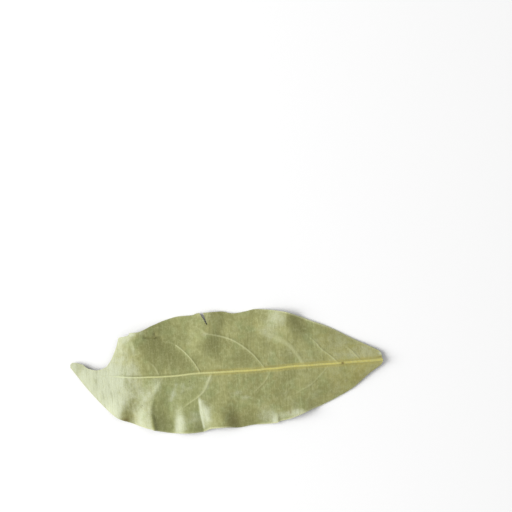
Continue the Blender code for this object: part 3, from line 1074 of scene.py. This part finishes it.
net = fine_net(under, place, NET_SIZE)
streaks = speckle(under, place, *STREAKS)
streaky = ramp(under, speckle(under, place, *STREAKY_PARTS), *STREAKY_SHOWS)
pale_streaks = product(under, streaky, ramp(under, streaks, *PALE_STREAKS))
dark_streaks = product(under, streaky, ramp(under, streaks, *DARK_STREAKS))
pale_net = product(under, net, ramp(under, mottles, *NET_SHOWS))
flecks = ramp(under, speckle(under, place, *FLECKS), *FLECKS_SHOW)
colour = lay_over(under, colour, CREAM, pale_streaks)
colour = lay_over(under, colour, OLIVE, dark_streaks)
colour = lay_over(under, colour, CREAM, pale_net)
colour = lay_over(under, colour, FLECK, flecks)
say_nodes(under)

# %% [markdown]
# ## Underside: wrinkles, edges and side veins
# These coats follow the marks on the points: painted shade in a wrinkle, pale along the edge where
# it has dried through, and straw along the side veins. Lines from a pattern would be quicker, but
# these have to lie just where the relief has them.

# %% Underside, its lines
PALE_EDGE = (0.520, 0.530, 0.300)
VEIN = (0.500, 0.515, 0.270)
WRINKLE_SHADE_SHOWS = (0.02, 0.26, 0.0, 0.7)
EDGE_SHOWS = (0.1, 0.5, 1.0, 0.0)
VEIN_SOLID = 0.3  # the half widths to which a side vein's colour is full
VEIN_REACH = 1.4  # the half widths at which it ends


def vein_share(material, reach):
    """How much of a side vein's colour shows: all at its middle, none at this many half widths."""
    near = ramp(material, mark_of(material, "from_vein"), VEIN_SOLID, reach, 1.0, 0.0)
    return product(material, near, mark_of(material, "vein_strength"))


wrinkle_shade_share = ramp(under, mark_of(under, "wrinkle"), *WRINKLE_SHADE_SHOWS)
edge_share = ramp(under, mark_of(under, "from_edge"), *EDGE_SHOWS)
edge_share = product(under, edge_share, mark_of(under, "edge_light"))
# Painted shade along each wrinkle.
colour = lay_over(under, colour, OLIVE, wrinkle_shade_share)
colour = lay_over(under, colour, PALE_EDGE, edge_share)
colour = lay_over(under, colour, VEIN, vein_share(under, VEIN_REACH))
say_nodes(under)

# %% [markdown]
# ## Underside: the midrib
# The midrib has dried to straw: pale by the tip, tan by the base. One colour all along would look
# like a painted stripe, so three take over from each other. The blade beside it carries a painted
# shadow on the far side, and is warmer towards the base. The brown spots come last, since they lie
# on rib and blade alike. Some of them are painted shade in valleys and beside the midrib.

# %% Underside, its midrib
STRAW = (0.510, 0.515, 0.225)
PALE_STRAW = (0.600, 0.640, 0.390)
TAN = (0.550, 0.495, 0.132)
BROWN_AND_SHADE = (0.170, 0.125, 0.035)
SHADOW_RISES = (0.7, 1.3)
SHADOW_FALLS = (2.2, 4.5, 1.0, 0.0)
SHADOW_STARTS = (-29, -24, 0.0, 0.45)
SHADOW_ENDS = (-6, 3, 1.0, 0.0)
HALO_BESIDE = (1.2, 4.0, 1.0, 0.0)
HALO_STARTS = (-13, 2, 0.0, 0.75)
HALO_RUBS = (0.3, 0.6, 0.6, 1.0)
RIB_SHOWS = (0.5, 1.3, 1.0, 0.0)
PALE_STARTS = (-31, -27, 0.0, 0.9)
STRAW_STARTS = (-27, -18, 0.0, 0.9)
TAN_STARTS = (-12, 10, 0.0, 0.9)
TAN_MOTTLES = (0.35, 0.6, 0.65, 1.0)
BROWN_AND_SHADE_GRAIN = (0.3, 0.6, 0.6, 0.9)


def distance_from_rib(material):
    sockets = {0: mark_of(material, "from_rib")}
    return add_node(material, "ShaderNodeMath", sockets, operation="ABSOLUTE").outputs[0]


from_midrib = distance_from_rib(under)
# Painted shadow: olive beside the midrib on its far side, from near the tip to the middle.
shadow = product(under, ramp(under, beside, *SHADOW_RISES), ramp(under, beside, *SHADOW_FALLS))
shadow = product(under, shadow, ramp_along(under, along, *SHADOW_STARTS))
shadow = product(under, shadow, ramp_along(under, along, *SHADOW_ENDS))
halo = ramp(under, from_midrib, *HALO_BESIDE)
halo = product(under, halo, ramp_along(under, along, *HALO_STARTS))
halo = product(under, halo, ramp(under, rubs, *HALO_RUBS))
midrib = ramp(under, from_midrib, *RIB_SHOWS)
pale_rib = product(under, midrib, ramp_along(under, along, *PALE_STARTS))
straw_rib = product(under, midrib, ramp_along(under, along, *STRAW_STARTS))
tan_rib = product(under, midrib, ramp_along(under, along, *TAN_STARTS))
tan_rib = product(under, tan_rib, ramp(under, mottles, *TAN_MOTTLES))
brown_and_shade = product(under, mark_of(under, "brown_and_shade"), ramp(under, grain, *BROWN_AND_SHADE_GRAIN))
colour = lay_over(under, colour, OLIVE, shadow)
colour = lay_over(under, colour, HALO, halo)
colour = lay_over(under, colour, PALE_STRAW, pale_rib)
colour = lay_over(under, colour, STRAW, straw_rib)
colour = lay_over(under, colour, TAN, tan_rib)
# Brown spots, partly real browning and partly painted shade in valleys and beside the midrib.
colour = lay_over(under, colour, BROWN_AND_SHADE, brown_and_shade)
say_nodes(under)

# %% [markdown]
# ## Underside: its surface
# The blade is matt, and its grain makes it unevenly so. Net, streaks and grain also stand up a few
# hundredths of a millimetre. Relief that fine needs no geometry: it only has to catch the light.

# %% Underside, its surface
UNEVEN_GRAIN = (0.3, 0.7)
NET_STANDS = 0.012
STREAKS_STAND = 0.05
GRAIN_STANDS = 0.02

drive(under, "Base Color", colour)
drive(under, "Roughness", ramp(under, grain, *UNEVEN_GRAIN, *BLADE_ROUGHNESS))
bump = raised(under, net, NET_STANDS)
bump = raised(under, streaks, STREAKS_STAND, bump)
bump = raised(under, grain, GRAIN_STANDS, bump)
drive(under, "Normal", bump)
leaf.data.materials[UNDERSIDE] = under
say_nodes(under)

# %% [markdown]
# ## Upper face
# The face that the leaf lies on is darker and smoother, with the net sunk in and no bloom. It is a
# guess from other bay leaves. The underside's finish could be turned down for it, but so little of
# that would be left that its own is simpler.

# %% Upper face
UPPER_GREEN = (0.125, 0.135, 0.048)
UPPER_BROWN = (0.185, 0.165, 0.070)
UPPER_NET = (0.210, 0.210, 0.090)
UPPER_VEIN = (0.330, 0.280, 0.120)
UPPER_RIB = (0.400, 0.320, 0.130)
UPPER_ROUGHNESS = (0.32, 0.45)
UPPER_PATCHES = (5.0, 4.0)
UPPER_BROWN_SHOWS = (0.4, 0.7)
UPPER_NET_SHOWS = (0.0, 1.0, 0.0, 0.35)
UPPER_RIB_SHOWS = (0.6, 1.4, 0.9, 0.0)
UPPER_VEIN_REACH = 1.5
UNEVEN_PATCHES = (0.3, 0.7)
SUNK = (0.0, 1.0, 1.0, 0.0)
NET_SINKS = 0.03


def make_upper_face():
    """Darker and smoother, with the net sunk in."""
    upper = plain_material("upper_face", UPPER_GREEN, UPPER_ROUGHNESS[1])
    place = object_place(upper)
    net = fine_net(upper, place, NET_SIZE)
    patches = speckle(upper, place, *UPPER_PATCHES)
    veins = product(upper, vein_share(upper, UPPER_VEIN_REACH), net)
    midrib = ramp(upper, distance_from_rib(upper), *UPPER_RIB_SHOWS)
    colour = start_colour(upper, UPPER_GREEN)
    colour = lay_over(upper, colour, UPPER_BROWN, ramp(upper, patches, *UPPER_BROWN_SHOWS))
    colour = lay_over(upper, colour, UPPER_NET, ramp(upper, net, *UPPER_NET_SHOWS))
    colour = lay_over(upper, colour, UPPER_VEIN, veins)
    colour = lay_over(upper, colour, UPPER_RIB, midrib)
    drive(upper, "Base Color", colour)
    drive(upper, "Roughness", ramp(upper, patches, *UNEVEN_PATCHES, *UPPER_ROUGHNESS))
    drive(upper, "Normal", raised(upper, ramp(upper, net, *SUNK), NET_SINKS))
    return upper


leaf.data.materials[UPPER_FACE] = make_upper_face()
say_nodes(leaf.data.materials[UPPER_FACE])

# %% [markdown]
# ## Rim
# The rim is the blade's cut, so thin that it hardly shows: pale and dry, with a darker grain. The
# underside's colour could simply run over it, but a real leaf's edge is a paler line.

# %% Rim
RIM_ROUGHNESS = (0.5, 0.7)
RIM_GRAIN = (0.6, 3.0)
RIM_FINE_GRAIN = 0.3
RIM_GRAIN_SHOWS = (0.4, 0.8)
UNEVEN_RIM = (0.3, 0.7)


def make_rim():
    """Pale straw, with a darker grain."""
    rim = plain_material("rim", CREAM, RIM_ROUGHNESS[1])
    place = object_place(rim)
    dark_grain = ramp(rim, speckle(rim, place, *RIM_GRAIN), *RIM_GRAIN_SHOWS)
    fine_grain = speckle(rim, place, RIM_FINE_GRAIN)
    drive(rim, "Base Color", lay_over(rim, start_colour(rim, CREAM), OLIVE, dark_grain))
    drive(rim, "Roughness", ramp(rim, fine_grain, *UNEVEN_RIM, *RIM_ROUGHNESS))
    return rim


leaf.data.materials[RIM] = make_rim()
print("finishes:", [material.name for material in leaf.data.materials])

# %% [markdown]
# ## Hand over
# The finished leaf stands for the plain one, and moves with the body `root`.

# %% Hand over
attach(leaf, "root")
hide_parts("bay_leaf")
